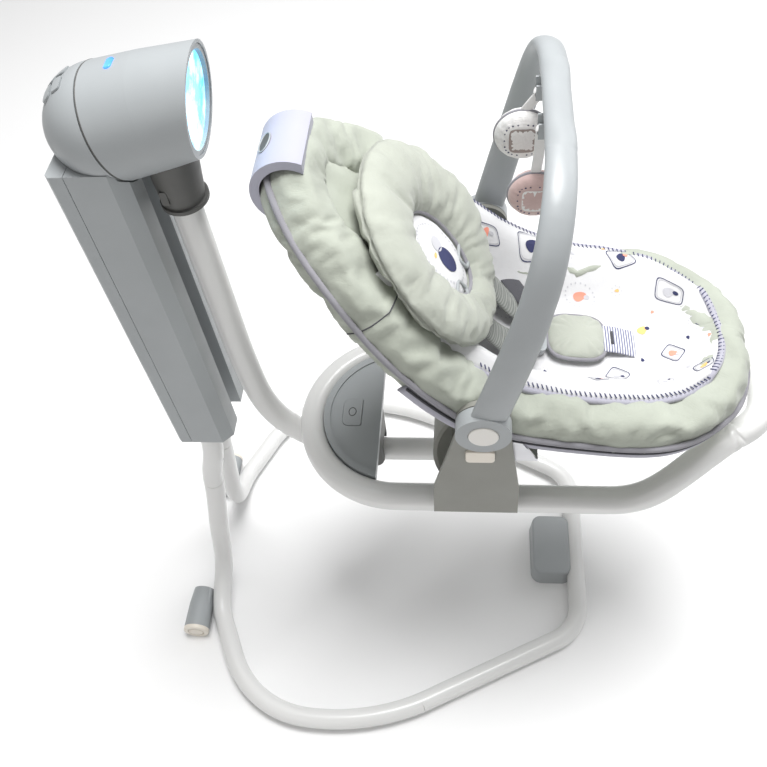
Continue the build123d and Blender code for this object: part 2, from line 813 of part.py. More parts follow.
with BuildPart() as carry_handle:
    with BuildSketch(Plane.XZ.offset(-36)):
        with Locations((-40, 766)):
            Circle(BORDER_R + 9)
            Circle(BORDER_R + 0.4, mode=Mode.SUBTRACT)
        with Locations((-40 + 67, 766 - 52)):
            Rectangle(134, 104, mode=Mode.SUBTRACT)
        with Locations((-40 + 76, 766)):
            Rectangle(120, 104, mode=Mode.SUBTRACT)
    extrude(amount=72)
finish(carry_handle, "carry_handle")

# =====================  toy bar  =====================
with BuildPart() as bar_half:
    with BuildLine() as bar_route:
        Spline(
            (HUB_X, BAR_Y, HUB_Z),
            (155, 150, 675),
            (170, 146, 740),
            (179, 132, 785),
            (184, 106, 811),
            (187, 60, 823),
            (187, 0, 825),
            tangents=((0.26, 0, 1), (0, -1, 0)),
        )
    bar_wire = bar_route.wires()[0]
    for share, half_wide in ((0, 17.5), (0.35, 16), (0.7, 13.5), (1, 12.5)):
        ahead = bar_wire % share
        with BuildSketch(Plane(origin=bar_wire @ share, x_dir=ahead.cross(Vector(1, 0, -0.25)), z_dir=ahead)):
            Ellipse(7.8, half_wide)
    sweep(path=bar_wire, multisection=True)
with BuildPart() as toy_bar:
    add(bar_half.part)
    mirror(about=Plane.XZ)
    for side, sign in SIDES:
        with BuildSketch(across(HUB_X, 140, HUB_Z, sign)):
            Circle(HUB_R)
        extrude(amount=17)
    for side, sign in SIDES:
        with BuildSketch(across(HUB_X, 148, HUB_Z, sign)):
            Circle(15)
        extrude(amount=20, mode=Mode.SUBTRACT)
    for number, toy_x, toy_y, toy_r, toy_z in TOYS:
        with Locations((TOY_PIN_X, toy_y, TOY_PIN_Z)):
            Cylinder(1.8, 14, rotation=(90, 0, 0))
        for across_by in (-7, 7):
            with Locations((TOY_PIN_X + 3, toy_y + across_by, TOY_PIN_Z + 4)):
                Box(11, 2, 14)
finish(toy_bar, "toy_bar")

for side, sign in SIDES:
    with BuildPart() as hub_button:
        with BuildSketch(across(HUB_X, 151, HUB_Z, sign)):
            Circle(14.5)
        extrude(amount=7.5)
        fillet(hub_button.edges().group_by(Axis.Y)[-1 if sign > 0 else 0], 1.2)
    finish(hub_button, f"hub_button_{side}")

for number, toy_x, toy_y, toy_r, toy_z in TOYS:
    strap_low = toy_z + toy_r - 2
    strap_high = TOY_PIN_Z - 3
    with BuildPart() as toy:
        with Locations((toy_x, toy_y, toy_z)):
            Cylinder(toy_r, 20, rotation=(90, 0, 0))
        with BuildSketch(Plane.XZ.offset(-toy_y - 1.2)):
            Polygon(
                (toy_x - 4.5, strap_low),
                (toy_x + 4.5, strap_low),
                (TOY_PIN_X + 4, strap_high),
                (TOY_PIN_X - 4, strap_high),
                align=None,
            )
        extrude(amount=2.4)
        with Locations((TOY_PIN_X, toy_y, TOY_PIN_Z)):
            Cylinder(4.6, 8, rotation=(90, 0, 0))
            Cylinder(2.2, 8, rotation=(90, 0, 0), mode=Mode.SUBTRACT)
    finish(toy, f"toy_disc_{number}")
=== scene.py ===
import bpy
import json
import math
from mathutils import Matrix, Vector, noise


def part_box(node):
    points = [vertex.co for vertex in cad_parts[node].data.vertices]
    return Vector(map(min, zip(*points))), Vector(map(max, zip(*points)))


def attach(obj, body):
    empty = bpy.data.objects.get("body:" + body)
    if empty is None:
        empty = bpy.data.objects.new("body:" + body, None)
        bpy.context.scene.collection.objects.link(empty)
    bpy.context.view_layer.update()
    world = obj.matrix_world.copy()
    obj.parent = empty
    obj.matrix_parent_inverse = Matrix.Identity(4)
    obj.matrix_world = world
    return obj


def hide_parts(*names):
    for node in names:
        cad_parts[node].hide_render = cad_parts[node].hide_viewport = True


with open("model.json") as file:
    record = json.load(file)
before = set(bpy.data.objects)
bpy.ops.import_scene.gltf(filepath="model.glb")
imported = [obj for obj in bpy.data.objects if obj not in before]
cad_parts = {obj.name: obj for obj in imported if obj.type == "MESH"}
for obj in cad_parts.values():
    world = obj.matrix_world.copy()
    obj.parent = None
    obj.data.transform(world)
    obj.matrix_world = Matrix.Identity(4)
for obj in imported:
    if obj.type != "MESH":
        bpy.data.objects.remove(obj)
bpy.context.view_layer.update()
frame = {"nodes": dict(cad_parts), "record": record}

nodes = frame["nodes"]
MM = 0.001

# ---- places that everything else follows, in millimetres from the hinge hubs ----
hub_low, hub_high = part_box("hub_button_right")
HUB = Vector(((hub_low.x + hub_high.x) / 2, 0, (hub_low.z + hub_high.z) / 2)) / MM
HIP = HUB + Vector((3, 0, -48))
BACK_ANGLE = math.radians(54)
BACK_UP = Vector((-math.cos(BACK_ANGLE), 0, math.sin(BACK_ANGLE)))
BACK_OUT = Vector((math.sin(BACK_ANGLE), 0, math.cos(BACK_ANGLE)))

# ---- colours, linear ----
SAGE = (0.41, 0.435, 0.375)
GREY = (0.355, 0.375, 0.385)
# dark grey plastic, partly real; on the arm's collar its depth is painted shade from the barrel
GREY_DARK_AND_SHADE = (0.10, 0.10, 0.095)
WHITE = (0.73, 0.73, 0.72)
CREAM = (0.80, 0.745, 0.66)
NAVY = (0.045, 0.05, 0.12)
CORAL = (0.90, 0.33, 0.24)
AMBER = (0.90, 0.52, 0.20)
PALE_GREY = (0.55, 0.55, 0.58)
BLUSH = (0.55, 0.40, 0.38)


# ===== materials =====
def new_material(name, color, rough, specular=0.5):
    """A node material with its shader set up, and the nodes that vary it."""
    material = bpy.data.materials.new(name)
    material.use_nodes = True
    tree = material.node_tree
    shader = tree.nodes["Principled BSDF"]
    shader.inputs["Base Color"].default_value = (*color, 1)
    shader.inputs["Roughness"].default_value = rough
    shader.inputs["Specular IOR Level"].default_value = specular
    material.diffuse_color = (*color, 1)
    return material, tree, shader


def noise_node(tree, scale, detail=3.0, rough=0.5, stretch=(1, 1, 1)):
    """Noise in the object's own metres."""
    coords = tree.nodes.new("ShaderNodeTexCoord")
    mapping = tree.nodes.new("ShaderNodeMapping")
    mapping.inputs["Scale"].default_value = stretch
    texture = tree.nodes.new("ShaderNodeTexNoise")
    texture.inputs["Scale"].default_value = scale
    texture.inputs["Detail"].default_value = detail
    texture.inputs["Roughness"].default_value = rough
    tree.links.new(coords.outputs["Object"], mapping.inputs["Vector"])
    tree.links.new(mapping.outputs["Vector"], texture.inputs["Vector"])
    return texture


def color_ramp(tree, factor, shares, low, high):
    """Blends from one colour to another between two shares of a factor."""
    ramp = tree.nodes.new("ShaderNodeValToRGB")
    for end, share, color in zip(ramp.color_ramp.elements, shares, (low, high)):
        end.position = share
        end.color = (*color, 1)
    tree.links.new(factor, ramp.inputs["Fac"])
    return ramp


def vary_color(tree, shader, color, scale, amount):
    """Mottles the base colour a little, darker and lighter."""
    texture = noise_node(tree, scale, 4)
    low = tuple(c * (1 - amount) for c in color)
    high = tuple(min(1, c * (1 + amount)) for c in color)
    ramp = color_ramp(tree, texture.outputs["Fac"], (0.3, 0.7), low, high)
    tree.links.new(ramp.outputs["Color"], shader.inputs["Base Color"])


def vary_rough(tree, shader, low, high, scale):
    """Spreads the roughness between two values."""
    texture = noise_node(tree, scale, 5)
    spread = tree.nodes.new("ShaderNodeMapRange")
    spread.inputs["From Min"].default_value = 0.3
    spread.inputs["From Max"].default_value = 0.7
    spread.inputs["To Min"].default_value = low
    spread.inputs["To Max"].default_value = high
    tree.links.new(texture.outputs["Fac"], spread.inputs["Value"])
    tree.links.new(spread.outputs["Result"], shader.inputs["Roughness"])


def add_bump(tree, shader, height_output, strength, distance):
    """Chains one more bump onto the shader's normal."""
    bump = tree.nodes.new("ShaderNodeBump")
    bump.inputs["Strength"].default_value = strength
    bump.inputs["Distance"].default_value = distance
    tree.links.new(height_output, bump.inputs["Height"])
    current = shader.inputs["Normal"].links
    if current:
        tree.links.new(current[0].from_socket, bump.inputs["Normal"])
    tree.links.new(bump.outputs["Normal"], shader.inputs["Normal"])


def moulded(name, color, rough=0.42, grain=1400, strength=0.12):
    """Injection-moulded plastic with a fine spark-eroded grain."""
    material, tree, shader = new_material(name, color, rough)
    vary_color(tree, shader, color, 9, 0.035)
    vary_rough(tree, shader, rough - 0.06, rough + 0.08, 40)
    add_bump(tree, shader, noise_node(tree, grain, 2).outputs["Fac"], strength, 0.0004)
    return material


def powder_coat(name, color):
    """Smooth powder-coated steel tube with a slight orange peel."""
    material, tree, shader = new_material(name, color, 0.3, 0.5)
    vary_color(tree, shader, color, 5, 0.02)
    vary_rough(tree, shader, 0.28, 0.36, 12)
    add_bump(tree, shader, noise_node(tree, 900, 1).outputs["Fac"], 0.04, 0.0002)
    shader.inputs["Coat Weight"].default_value = 0.25
    shader.inputs["Coat Roughness"].default_value = 0.12
    return material


def metal(name, color, rough):
    """Plated or ground steel with fine directional scratches."""
    material, tree, shader = new_material(name, color, rough)
    shader.inputs["Metallic"].default_value = 1.0
    vary_color(tree, shader, color, 60, 0.08)
    vary_rough(tree, shader, rough - 0.08, rough + 0.12, 120)
    scratches = noise_node(tree, 500, 3, stretch=(1, 1, 14))
    add_bump(tree, shader, scratches.outputs["Fac"], 0.1, 0.0003)
    return material


def weave_height(tree, threads):
    """Weave height from three crossed waves."""
    coords = tree.nodes.new("ShaderNodeTexCoord")
    outputs = []
    for direction in ("X", "Y", "Z"):
        wave = tree.nodes.new("ShaderNodeTexWave")
        wave.bands_direction = direction
        wave.inputs["Scale"].default_value = threads
        wave.inputs["Distortion"].default_value = 0.6
        wave.inputs["Detail"].default_value = 1.0
        tree.links.new(coords.outputs["Object"], wave.inputs["Vector"])
        outputs.append(wave.outputs["Fac"])
    total = outputs[0]
    for output in outputs[1:]:
        add = tree.nodes.new("ShaderNodeMath")
        add.operation = "ADD"
        tree.links.new(total, add.inputs[0])
        tree.links.new(output, add.inputs[1])
        total = add.outputs["Value"]
    return total


def cloth(name, color, threads=420, mottle=0.06, crease=0.5, sheen=0.25):
    """Woven fabric: thread weave, soft creases and a little sheen."""
    material, tree, shader = new_material(name, color, 0.82, 0.25)
    vary_color(tree, shader, color, 26, mottle)
    add_bump(tree, shader, noise_node(tree, 34, 5, 0.55).outputs["Fac"], crease, 0.004)
    add_bump(tree, shader, weave_height(tree, threads), 0.25, 0.0003)
    add_bump(tree, shader, noise_node(tree, 900, 2).outputs["Fac"], 0.2, 0.0003)
    shader.inputs["Sheen Weight"].default_value = sheen
    shader.inputs["Sheen Roughness"].default_value = 0.5
    return material


def striped(name, first, second, per_metre, axis="Y"):
    """Fabric with woven stripes of two colours."""
    material, tree, shader = new_material(name, first, 0.85, 0.2)
    coords = tree.nodes.new("ShaderNodeTexCoord")
    wave = tree.nodes.new("ShaderNodeTexWave")
    wave.bands_direction = axis
    wave.inputs["Scale"].default_value = per_metre
    tree.links.new(coords.outputs["Object"], wave.inputs["Vector"])
    ramp = color_ramp(tree, wave.outputs["Fac"], (0.42, 0.55), first, second)
    ramp.color_ramp.interpolation = "EASE"
    tree.links.new(ramp.outputs["Color"], shader.inputs["Base Color"])
    add_bump(tree, shader, noise_node(tree, 40, 4).outputs["Fac"], 0.4, 0.003)
    add_bump(tree, shader, weave_height(tree, 520), 0.25, 0.0003)
    return material


def glowing(name, color, inner, strength):
    """Lit lens: brighter cells and streaks in a coloured glow."""
    material, tree, shader = new_material(name, color, 0.18, 0.6)
    texture = noise_node(tree, 38, 4, 0.6)
    ramp = color_ramp(tree, texture.outputs["Fac"], (0.40, 0.64), color, inner)
    tree.links.new(ramp.outputs["Color"], shader.inputs["Base Color"])
    tree.links.new(ramp.outputs["Color"], shader.inputs["Emission Color"])
    shader.inputs["Emission Strength"].default_value = strength
    add_bump(tree, shader, noise_node(tree, 160, 2).outputs["Fac"], 0.3, 0.001)
    return material


grey_plastic = moulded("moulded_grey", GREY, 0.38)
# Dark grey plastic for seams, icons and dark parts; on the arm's collar the darkness is painted
# shade from the barrel.
dark_plastic = moulded("moulded_dark_grey_and_painted_shade", GREY_DARK_AND_SHADE, 0.5)
# The bracket and cradle use the grey plastic darkened to paint in the shade they sit in.
bracket_painted_shade = moulded("moulded_bracket_painted_shade", (0.25, 0.25, 0.225), 0.5)
cream_plastic = moulded("moulded_cream", CREAM, 0.36)
button_white = moulded("moulded_white", (0.78, 0.76, 0.72), 0.32)
lilac_plastic = moulded("moulded_lilac", (0.42, 0.42, 0.50), 0.4)
white_paint = powder_coat("powder_coat_white", WHITE)
zinc = metal("zinc_plated", (0.55, 0.55, 0.57), 0.34)
mirror_coat = metal("reflector_coat", (0.75, 0.82, 0.9), 0.16)
acetal = moulded("acetal", (0.78, 0.76, 0.66), 0.4)
board_green = moulded("solder_mask", (0.02, 0.14, 0.06), 0.35, 300, 0.3)
lamp_glow = glowing("lamp_glow", (0.10, 0.48, 0.85), (0.65, 0.93, 1.0), 1.6)
led_glow = glowing("led_glow", (0.02, 0.12, 0.95), (0.08, 0.28, 1.0), 1.4)
sage_cloth = cloth("sage_cloth", SAGE)
sage_soft = cloth("sage_cloth_pillow", (0.42, 0.44, 0.385), 460, 0.05, 0.6)
white_cloth = cloth("white_cloth", (0.70, 0.70, 0.71), 560, 0.015, 0.25, 0.15)
lilac_band = cloth("lilac_band", (0.42, 0.415, 0.48), 600, 0.05, 0.4)
piping_cloth = cloth("piping_grey", (0.27, 0.265, 0.29), 700, 0.08, 0.3)
webbing = cloth("webbing_dark", (0.07, 0.07, 0.08), 800, 0.1, 0.2)
strap_cloth = striped(
    "shoulder_pad_ribbed", (0.20, 0.21, 0.20), (0.31, 0.32, 0.30), 120, "Z"
)
tongue_cloth = striped("tongue_striped", (0.75, 0.75, 0.77), (0.16, 0.17, 0.28), 110, "X")
navy_thread = cloth("navy_thread", NAVY, 1500, 0.1, 0.1)
plush_white = cloth("plush_white", (0.76, 0.75, 0.74), 300, 0.03, 0.8, 0.6)
plush_blush = cloth("plush_blush", BLUSH, 300, 0.08, 0.8, 0.5)
patch_brown = cloth("patch_brown", (0.34, 0.29, 0.27), 420, 0.1, 0.4)
ink = {
    "navy": cloth("ink_navy", NAVY, 900, 0.15, 0.1, 0),
    "coral": cloth("ink_coral", CORAL, 900, 0.08, 0.1, 0),
    "amber": cloth("ink_amber", AMBER, 900, 0.08, 0.1, 0),
    "grey": cloth("ink_grey", PALE_GREY, 900, 0.06, 0.1, 0),
}

CAD_FINISH = {
    "white_tube": white_paint,
    "grey_plastic": grey_plastic,
    "dark_plastic": dark_plastic,
    "cream_plastic": cream_plastic,
    "lilac_plastic": lilac_plastic,
    "steel": zinc,
    "gear_plastic": acetal,
    "board": board_green,
    "reflector": mirror_coat,
    "lamp_lens": lamp_glow,
    "status_lens": led_glow,
    "sage_fabric": sage_cloth,
    "printed_fabric": white_cloth,
    "dark_webbing": webbing,
    "toy_fabric": plush_white,
}
slot_of = {part["node"]: part["material_slot"] for part in frame["record"]["subparts"]}
for name, node in nodes.items():
    finish = CAD_FINISH[slot_of[name]]
    if name.startswith("hub_button"):
        finish = button_white
    # bracket and cradle take the grey darkened with painted shade
    if name.startswith(("hub_bracket", "seat_cradle")):
        finish = bracket_painted_shade
    node.data.materials.clear()
    node.data.materials.append(finish)


# ===== mesh helpers =====
def make_piece(name, verts, faces, finish, body, smooth=True):
    """A mesh piece from millimetre points, riding on a body."""
    mesh = bpy.data.meshes.new(name)
    mesh.from_pydata([tuple(Vector(v) * MM) for v in verts], [], faces)
    mesh.validate()
    mesh.materials.append(finish)
    if smooth:
        mesh.shade_smooth()
    else:
        mesh.shade_flat()
    piece = bpy.data.objects.new(name, mesh)
    bpy.context.scene.collection.objects.link(piece)
    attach(piece, body)
    return piece


def smooth_path(points, per_run, closed=False):
    """Catmull-Rom curve through points."""
    points = [Vector(p) for p in points]
    count = len(points)
    result = []
    runs = count if closed else count - 1
    for i in range(runs):
        if closed:
            a, b, c, d = (points[(i + k - 1) % count] for k in range(4))
        else:
            a, b, c, d = (points[min(max(i + k - 1, 0), count - 1)] for k in range(4))
        for step in range(per_run):
            t = step / per_run
            square = (2 * a - 5 * b + 4 * c - d) * t * t
            cube = (3 * b - a - 3 * c + d) * t ** 3
            result.append(0.5 * (2 * b + (c - a) * t + square + cube))
    if not closed:
        result.append(points[-1])
    return result


def grid_faces(rows, columns, wrap_rows, wrap_columns):
    """Quads of a grid of points, row by row."""
    faces = []
    for i in range(rows if wrap_rows else rows - 1):
        for j in range(columns if wrap_columns else columns - 1):
            right = (j + 1) % columns
            below = (i + 1) % rows
            row, next_row = i * columns, below * columns
            faces.append((row + j, row + right, next_row + right, next_row + j))
    return faces


SHEET_THICK = 7


def layers(rows, columns, place):
    """Points of a thick sheet's two sides; place(row, column share, layer lift) gives one."""
    verts = []
    for layer_lift in (0, -SHEET_THICK):
        for row in range(rows):
            for column in range(columns):
                verts.append(place(row, column / (columns - 1) * 2 - 1, layer_lift))
    return verts


def sheet_faces(rows, columns):
    """Faces of a thick sheet: a grid of points for its top, one for its underside, and the rim."""
    top = grid_faces(rows, columns, False, False)
    count = rows * columns
    faces = list(top)
    for face in top:
        faces.append(tuple(count + i for i in reversed(face)))
    rim = list(range(columns))
    rim += [r * columns + columns - 1 for r in range(1, rows)]
    rim += [(rows - 1) * columns + c for c in range(columns - 2, -1, -1)]
    rim += [r * columns for r in range(rows - 2, 0, -1)]
    for k, index in enumerate(rim):
        following = rim[(k + 1) % len(rim)]
        faces.append((following, index, count + index, count + following))
    return faces


def disc_layer_faces(count, rings):
    """Faces of a disc's two sides, each of rings of points about a last middle point."""
    faces = []
    for layer in (0, 1):
        base = layer * (rings * count + 1)
        for ring in range(rings - 1):
            outer, inner = base + ring * count, base + (ring + 1) * count
            for k in range(count):
                right = (k + 1) % count
                quad = (outer + k, outer + right, inner + right, inner + k)
                faces.append(quad if layer == 0 else tuple(reversed(quad)))
        last = base + (rings - 1) * count
        for k in range(count):
            triangle = (last + k, last + (k + 1) % count, base + rings * count)
            faces.append(triangle if layer == 0 else tuple(reversed(triangle)))
    return faces


def swept(name, path, up_of, section, sides, finish, body, closed=False):
    """Sweeps a section along a path. section(i, angle) gives (sideways, upward)."""
    verts = []
    count = len(path)
    for i, spot in enumerate(path):
        before = path[(i - 1) % count] if closed or i else spot
        after = path[(i + 1) % count] if closed or i < count - 1 else spot
        forward = (after - before).normalized()
        up = up_of(i)
        side = forward.cross(up).normalized()
        up = side.cross(forward).normalized()
        for k in range(sides):
            across, lift = section(i, 2 * math.pi * k / sides)
            verts.append(spot + side * across + up * lift)
    faces = grid_faces(count, sides, closed, True)
    if not closed:
        faces.append(tuple(reversed(range(sides))))
        faces.append(tuple(range((count - 1) * sides, count * sides)))
    return make_piece(name, verts, faces, finish, body)


def spot(x, y, z):
    """A place given from the hub axis, forward, left and up."""
    return HUB + Vector((x, y, z))


def on_back(across, up, lift):
    """A place on the seat back: across, up from the hip and out towards the sitter."""
    return HIP + Vector((0, across, 0)) + BACK_UP * up + BACK_OUT * lift


def ease(share):
    """A smooth step from 0 to 1."""
    share = min(1, max(0, share))
    return share * share * (3 - 2 * share)


def seat_normal(place):
    """Outward from the seat at a place, turning from the back to the level leg end."""
    share = ease((place.x - HUB.x + 35) / 120)
    return (BACK_OUT * (1 - share) + Vector((0, 0, 1)) * share).normalized()


def bumpy(place, size, seed=0.0):
    """Smooth noise about zero, features of a size in millimetres."""
    return noise.noise(place / size + Vector((seed, seed * 1.7, -seed)))


SETTLE_FRAMES = 20


def settle(piece, pinned, pressure, shrink, cap):
    """Inflates a cushion between its sewn lines so that it puckers; no point moves over cap mm."""
    mesh = piece.data
    before = [v.co.copy() for v in mesh.vertices]
    group = piece.vertex_groups.new(name="sewn")
    for index, weight in pinned.items():
        group.add([index], weight, "REPLACE")
    modifier = piece.modifiers.new("settle", "CLOTH")
    cloth_settings = modifier.settings
    cloth_settings.quality = 4
    cloth_settings.mass = 0.15
    cloth_settings.tension_stiffness = 12
    cloth_settings.compression_stiffness = 12
    cloth_settings.shear_stiffness = 5
    cloth_settings.bending_stiffness = 0.4
    cloth_settings.use_pressure = True
    cloth_settings.uniform_pressure_force = pressure
    cloth_settings.shrink_min = shrink
    cloth_settings.vertex_group_mass = "sewn"
    cloth_settings.pin_stiffness = 1.0
    cloth_settings.effector_weights.gravity = 0.0
    modifier.collision_settings.use_collision = False
    modifier.collision_settings.use_self_collision = False
    modifier.point_cache.frame_start = 1
    modifier.point_cache.frame_end = SETTLE_FRAMES
    scene = bpy.context.scene
    scene.frame_start = 1
    scene.frame_end = SETTLE_FRAMES
    for number in range(1, SETTLE_FRAMES + 1):
        scene.frame_set(number)
    graph = bpy.context.evaluated_depsgraph_get()
    shaped = piece.evaluated_get(graph).to_mesh()
    after = [v.co.copy() for v in shaped.vertices]
    piece.evaluated_get(graph).to_mesh_clear()
    piece.modifiers.remove(modifier)
    piece.vertex_groups.clear()
    for index, vertex in enumerate(mesh.vertices):
        move = after[index] - before[index]
        if move.length > cap * MM:
            move = move.normalized() * cap * MM
        vertex.co = before[index] + move
    mesh.update()
    scene.frame_set(1)


CUSHION_RINGS = 12
CUSHION_PUFF = 2.4
CUSHION_BACK = 0.35
CUSHION_FOLDS = 11


def cushion(name, outline, place, thick, finish, body, wrinkle=1.0):
    """A stuffed cushion over an outline; place(x, y, lift) puts a pattern point in the frame."""
    count = len(outline)
    middle = Vector((sum(p[0] for p in outline) / count, sum(p[1] for p in outline) / count))
    verts = []
    for layer in (1, -1):
        for ring in range(CUSHION_RINGS):
            share = math.sin((1 - ring / CUSHION_RINGS) * math.pi / 2)
            height = thick * (1 - share ** CUSHION_PUFF) ** 0.5
            for k, corner in enumerate(outline):
                flat = middle + (Vector(corner) - middle) * share
                wander = 2 * noise.noise(Vector((k * 0.35, 3.1, 0)))
                fold = wrinkle * share ** 3 * (1 - share ** 8) * 1.4
                fold *= math.sin(k * 2 * math.pi * CUSHION_FOLDS / count + wander)
                lift = (height + fold) if layer == 1 else -height * CUSHION_BACK
                verts.append(place(flat.x, flat.y, lift))
        verts.append(place(middle.x, middle.y, thick if layer == 1 else -thick * CUSHION_BACK))
    faces = disc_layer_faces(count, CUSHION_RINGS)
    under = CUSHION_RINGS * count + 1
    for k in range(count):
        right = (k + 1) % count
        faces.append((under + k, under + right, right, k))
    return make_piece(name, verts, faces, finish, body)


def tube(name, path, radius, finish, body, closed=False, sides=10, squash=1.0, up=None):
    """A round or flattened cord along a path."""
    return swept(
        name, path, lambda i: up or seat_normal(path[i]),
        lambda i, angle: (radius * math.cos(angle), radius * squash * math.sin(angle)), sides,
        finish, body, closed,
    )


def ellipse_outline(across, up, half_across, half_up, count=72, power=2.0):
    """Points round a superellipse."""
    points = []
    for k in range(count):
        angle = 2 * math.pi * k / count
        c = math.cos(angle)
        s = math.sin(angle)
        points.append(
            (
                across + half_across * math.copysign(abs(c) ** (2 / power), c),
                up + half_up * math.copysign(abs(s) ** (2 / power), s),
            )
        )
    return points


def join_meshes(name, groups, finish, body):
    """One flat-shaded piece from many small lists of points and faces."""
    verts = []
    faces = []
    for some_verts, some_faces in groups:
        start = len(verts)
        verts.extend(some_verts)
        faces.extend(tuple(start + i for i in face) for face in some_faces)
    return make_piece(name, verts, faces, finish, body, False)


# ===== seat border =====
BORDER_HALF = [
    spot(-168, 0, 194), spot(-165, 27, 189), spot(-148, 56, 166), spot(-121, 82, 135),
    spot(-81, 101, 78), spot(-31, 108, 18), spot(16, 106, -22), spot(96, 105, -45),
    spot(181, 100, -56), spot(233, 66, -62), spot(252, 25, -63), spot(252, 0, -63),
]
BORDER_OTHER_HALF = [Vector((p.x, -p.y, p.z)) for p in reversed(BORDER_HALF[1:-1])]
border_path = smooth_path(BORDER_HALF + BORDER_OTHER_HALF, 15, True)
SIDES = 40
ROLL = 27


def border_width(place):
    """Half width of the padded roll in the seat's plane: wide by the head, slimmer at the feet."""
    height = place.z - HUB.z
    if height > 20:
        return ROLL + 11 * math.sin(min(1, (height - 20) / 150) * math.pi)
    return ROLL + 1


def border_section(i, angle):
    """The roll's section, with its sewn lines pinched and cloth folds running across it."""
    place = border_path[i]
    wide = border_width(place)
    inward = wide - ROLL
    c = math.cos(angle)
    s = math.sin(angle)
    across = wide * math.copysign(abs(c) ** 0.85, c)
    lift = ROLL * math.copysign(abs(s) ** 0.92, s)
    spread = i / len(border_path) * 2 * math.pi
    near_seam = max(0, abs(c) - 0.35) ** 1.5
    folds = math.sin(spread * 41 + 3 * bumpy(place, 60))
    folds += 0.7 * math.sin(spread * 67 + 4 * bumpy(place, 45, 2))
    ripple = 1.25 * folds * near_seam * (0.6 + 0.8 * abs(bumpy(place, 80, 5)))
    swell = 2.2 * bumpy(place + Vector((0, 0, 40 * s)), 48, 1)
    swell += bumpy(place + Vector((0, 30 * s, 0)), 18, 4)
    grow = 1 + (ripple + swell) / ROLL
    return across * grow + inward, lift * grow


border = swept(
    "seat_border_roll", border_path, lambda i: seat_normal(border_path[i]), border_section, SIDES,
    sage_cloth, "seat", True,
)
pins = {}
for row in range(len(border_path)):
    for column in (0, 1, SIDES - 1, SIDES // 2 - 1, SIDES // 2, SIDES // 2 + 1):
        pins[row * SIDES + column] = 1.0
settle(border, pins, 2.0, -0.05, 4)
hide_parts("seat_border")


def along_border(side, lift, start=0.0, end=1.0, widen=0.0):
    """Points that follow the border roll at an offset from its middle line."""
    count = len(border_path)
    points = []
    first = int(start * count)
    last = int(end * count)
    for i in range(first, last):
        place = border_path[i % count]
        ahead = border_path[(i + 1) % count]
        behind = border_path[(i - 1) % count]
        forward = (ahead - behind).normalized()
        up = seat_normal(place)
        out = forward.cross(up).normalized()
        inward = border_width(place) - ROLL
        wide = border_width(place) + widen
        points.append(place + out * (side * wide + inward) + up * lift)
    return points


SEAM_AT = spot(-100, -92, 108)
seam_row = min(range(len(border_path)), key=lambda i: (border_path[i] - SEAM_AT).length)
seam_verts = border.data.vertices[seam_row * SIDES : (seam_row + 1) * SIDES]
seam_loop = [vertex.co / MM for vertex in seam_verts]
SEAM_ALONG = Vector((0.6, 0, -0.8))
tube("border_seam", seam_loop, 0.7, webbing, "seat", True, 6, 1.0, SEAM_ALONG)
piping_line = along_border(-1, -6, widen=1.0)
tube("outer_piping", piping_line, 3.2, piping_cloth, "seat", True)


# ===== printed pad =====
CENTRE_LINE = [
    spot(-60, 0, 92), spot(-27, 0, 34), spot(0, 0, -10), spot(36, 0, -38), spot(96, 0, -49),
    spot(156, 0, -54), spot(208, 0, -51), spot(250, 0, -35),
]
FAR_LINE = [
    spot(-100, 100, 150), spot(-56, 114, 94), spot(-12, 121, 47), spot(36, 122, 7),
    spot(96, 121, -18), spot(150, 117, -26), spot(196, 102, -31), spot(232, 66, -34),
]
NEAR_LINE = [
    spot(-102, -80, 136), spot(-58, -90, 80), spot(-14, -95, 34), spot(36, -97, 1),
    spot(96, -98, -17), spot(150, -96, -25), spot(196, -84, -32), spot(228, -60, -35),
]
PAD_ROWS = 80
PAD_COLUMNS = 56
centre_curve = smooth_path(CENTRE_LINE, 30)
far_curve = smooth_path(FAR_LINE, 30)
near_curve = smooth_path(NEAR_LINE, 30)


def curve_at(curve, share):
    """A point on a sampled curve at a share of its samples."""
    whole = min(1, max(0, share)) * (len(curve) - 1)
    i = min(int(whole), len(curve) - 2)
    return curve[i].lerp(curve[i + 1], whole - i)


def pad_place(u, v, lift=0.0):
    """The pad's top: u runs from back to foot, v from the near edge at -1 to the far edge at 1.

    It climbs over the border roll near its edges, where rise lifts it clear of the roll.
    """
    middle = curve_at(centre_curve, u)
    edge = curve_at(far_curve if v > 0 else near_curve, u)
    reach = edge - middle
    out = abs(v)
    climb = min(1, max(0, (out - 0.42) / 0.42))
    bend = ease(climb) * (1.05 - 0.05 * max(0, out - 0.84) / 0.16)
    place = Vector(
        (middle.x + reach.x * out ** 2.2, middle.y + reach.y * out, middle.z + reach.z * bend)
    )
    quilt = 1.1 * bumpy(place, 26, 3) + 0.5 * bumpy(place, 11, 6)
    rise = 5.0 * climb * (1 - 0.9 * max(0, out - 0.9) / 0.1)
    return place + seat_normal(place) * (lift + quilt + rise)


def pad_point(row, v, layer_lift):
    """A point of the pad's grid."""
    return pad_place(row / (PAD_ROWS - 1), v, layer_lift)


pad_verts = layers(PAD_ROWS, PAD_COLUMNS, pad_point)
pad_faces = sheet_faces(PAD_ROWS, PAD_COLUMNS)
pad = make_piece("printed_pad", pad_verts, pad_faces, white_cloth, "seat")
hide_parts("seat_pad")

edge_places = [pad_place(0.25 + 0.75 * k / 120, -1, -3) for k in range(121)]
edge_places += [pad_place(1, -1 + 2 * k / 60, -3) for k in range(1, 61)]
edge_places += [pad_place(1 - 0.8 * k / 120, 1, -3) for k in range(1, 121)]
tube(
    "pad_edge_band", edge_places, 4.2, lilac_band, "seat", sides=12, squash=0.9
)


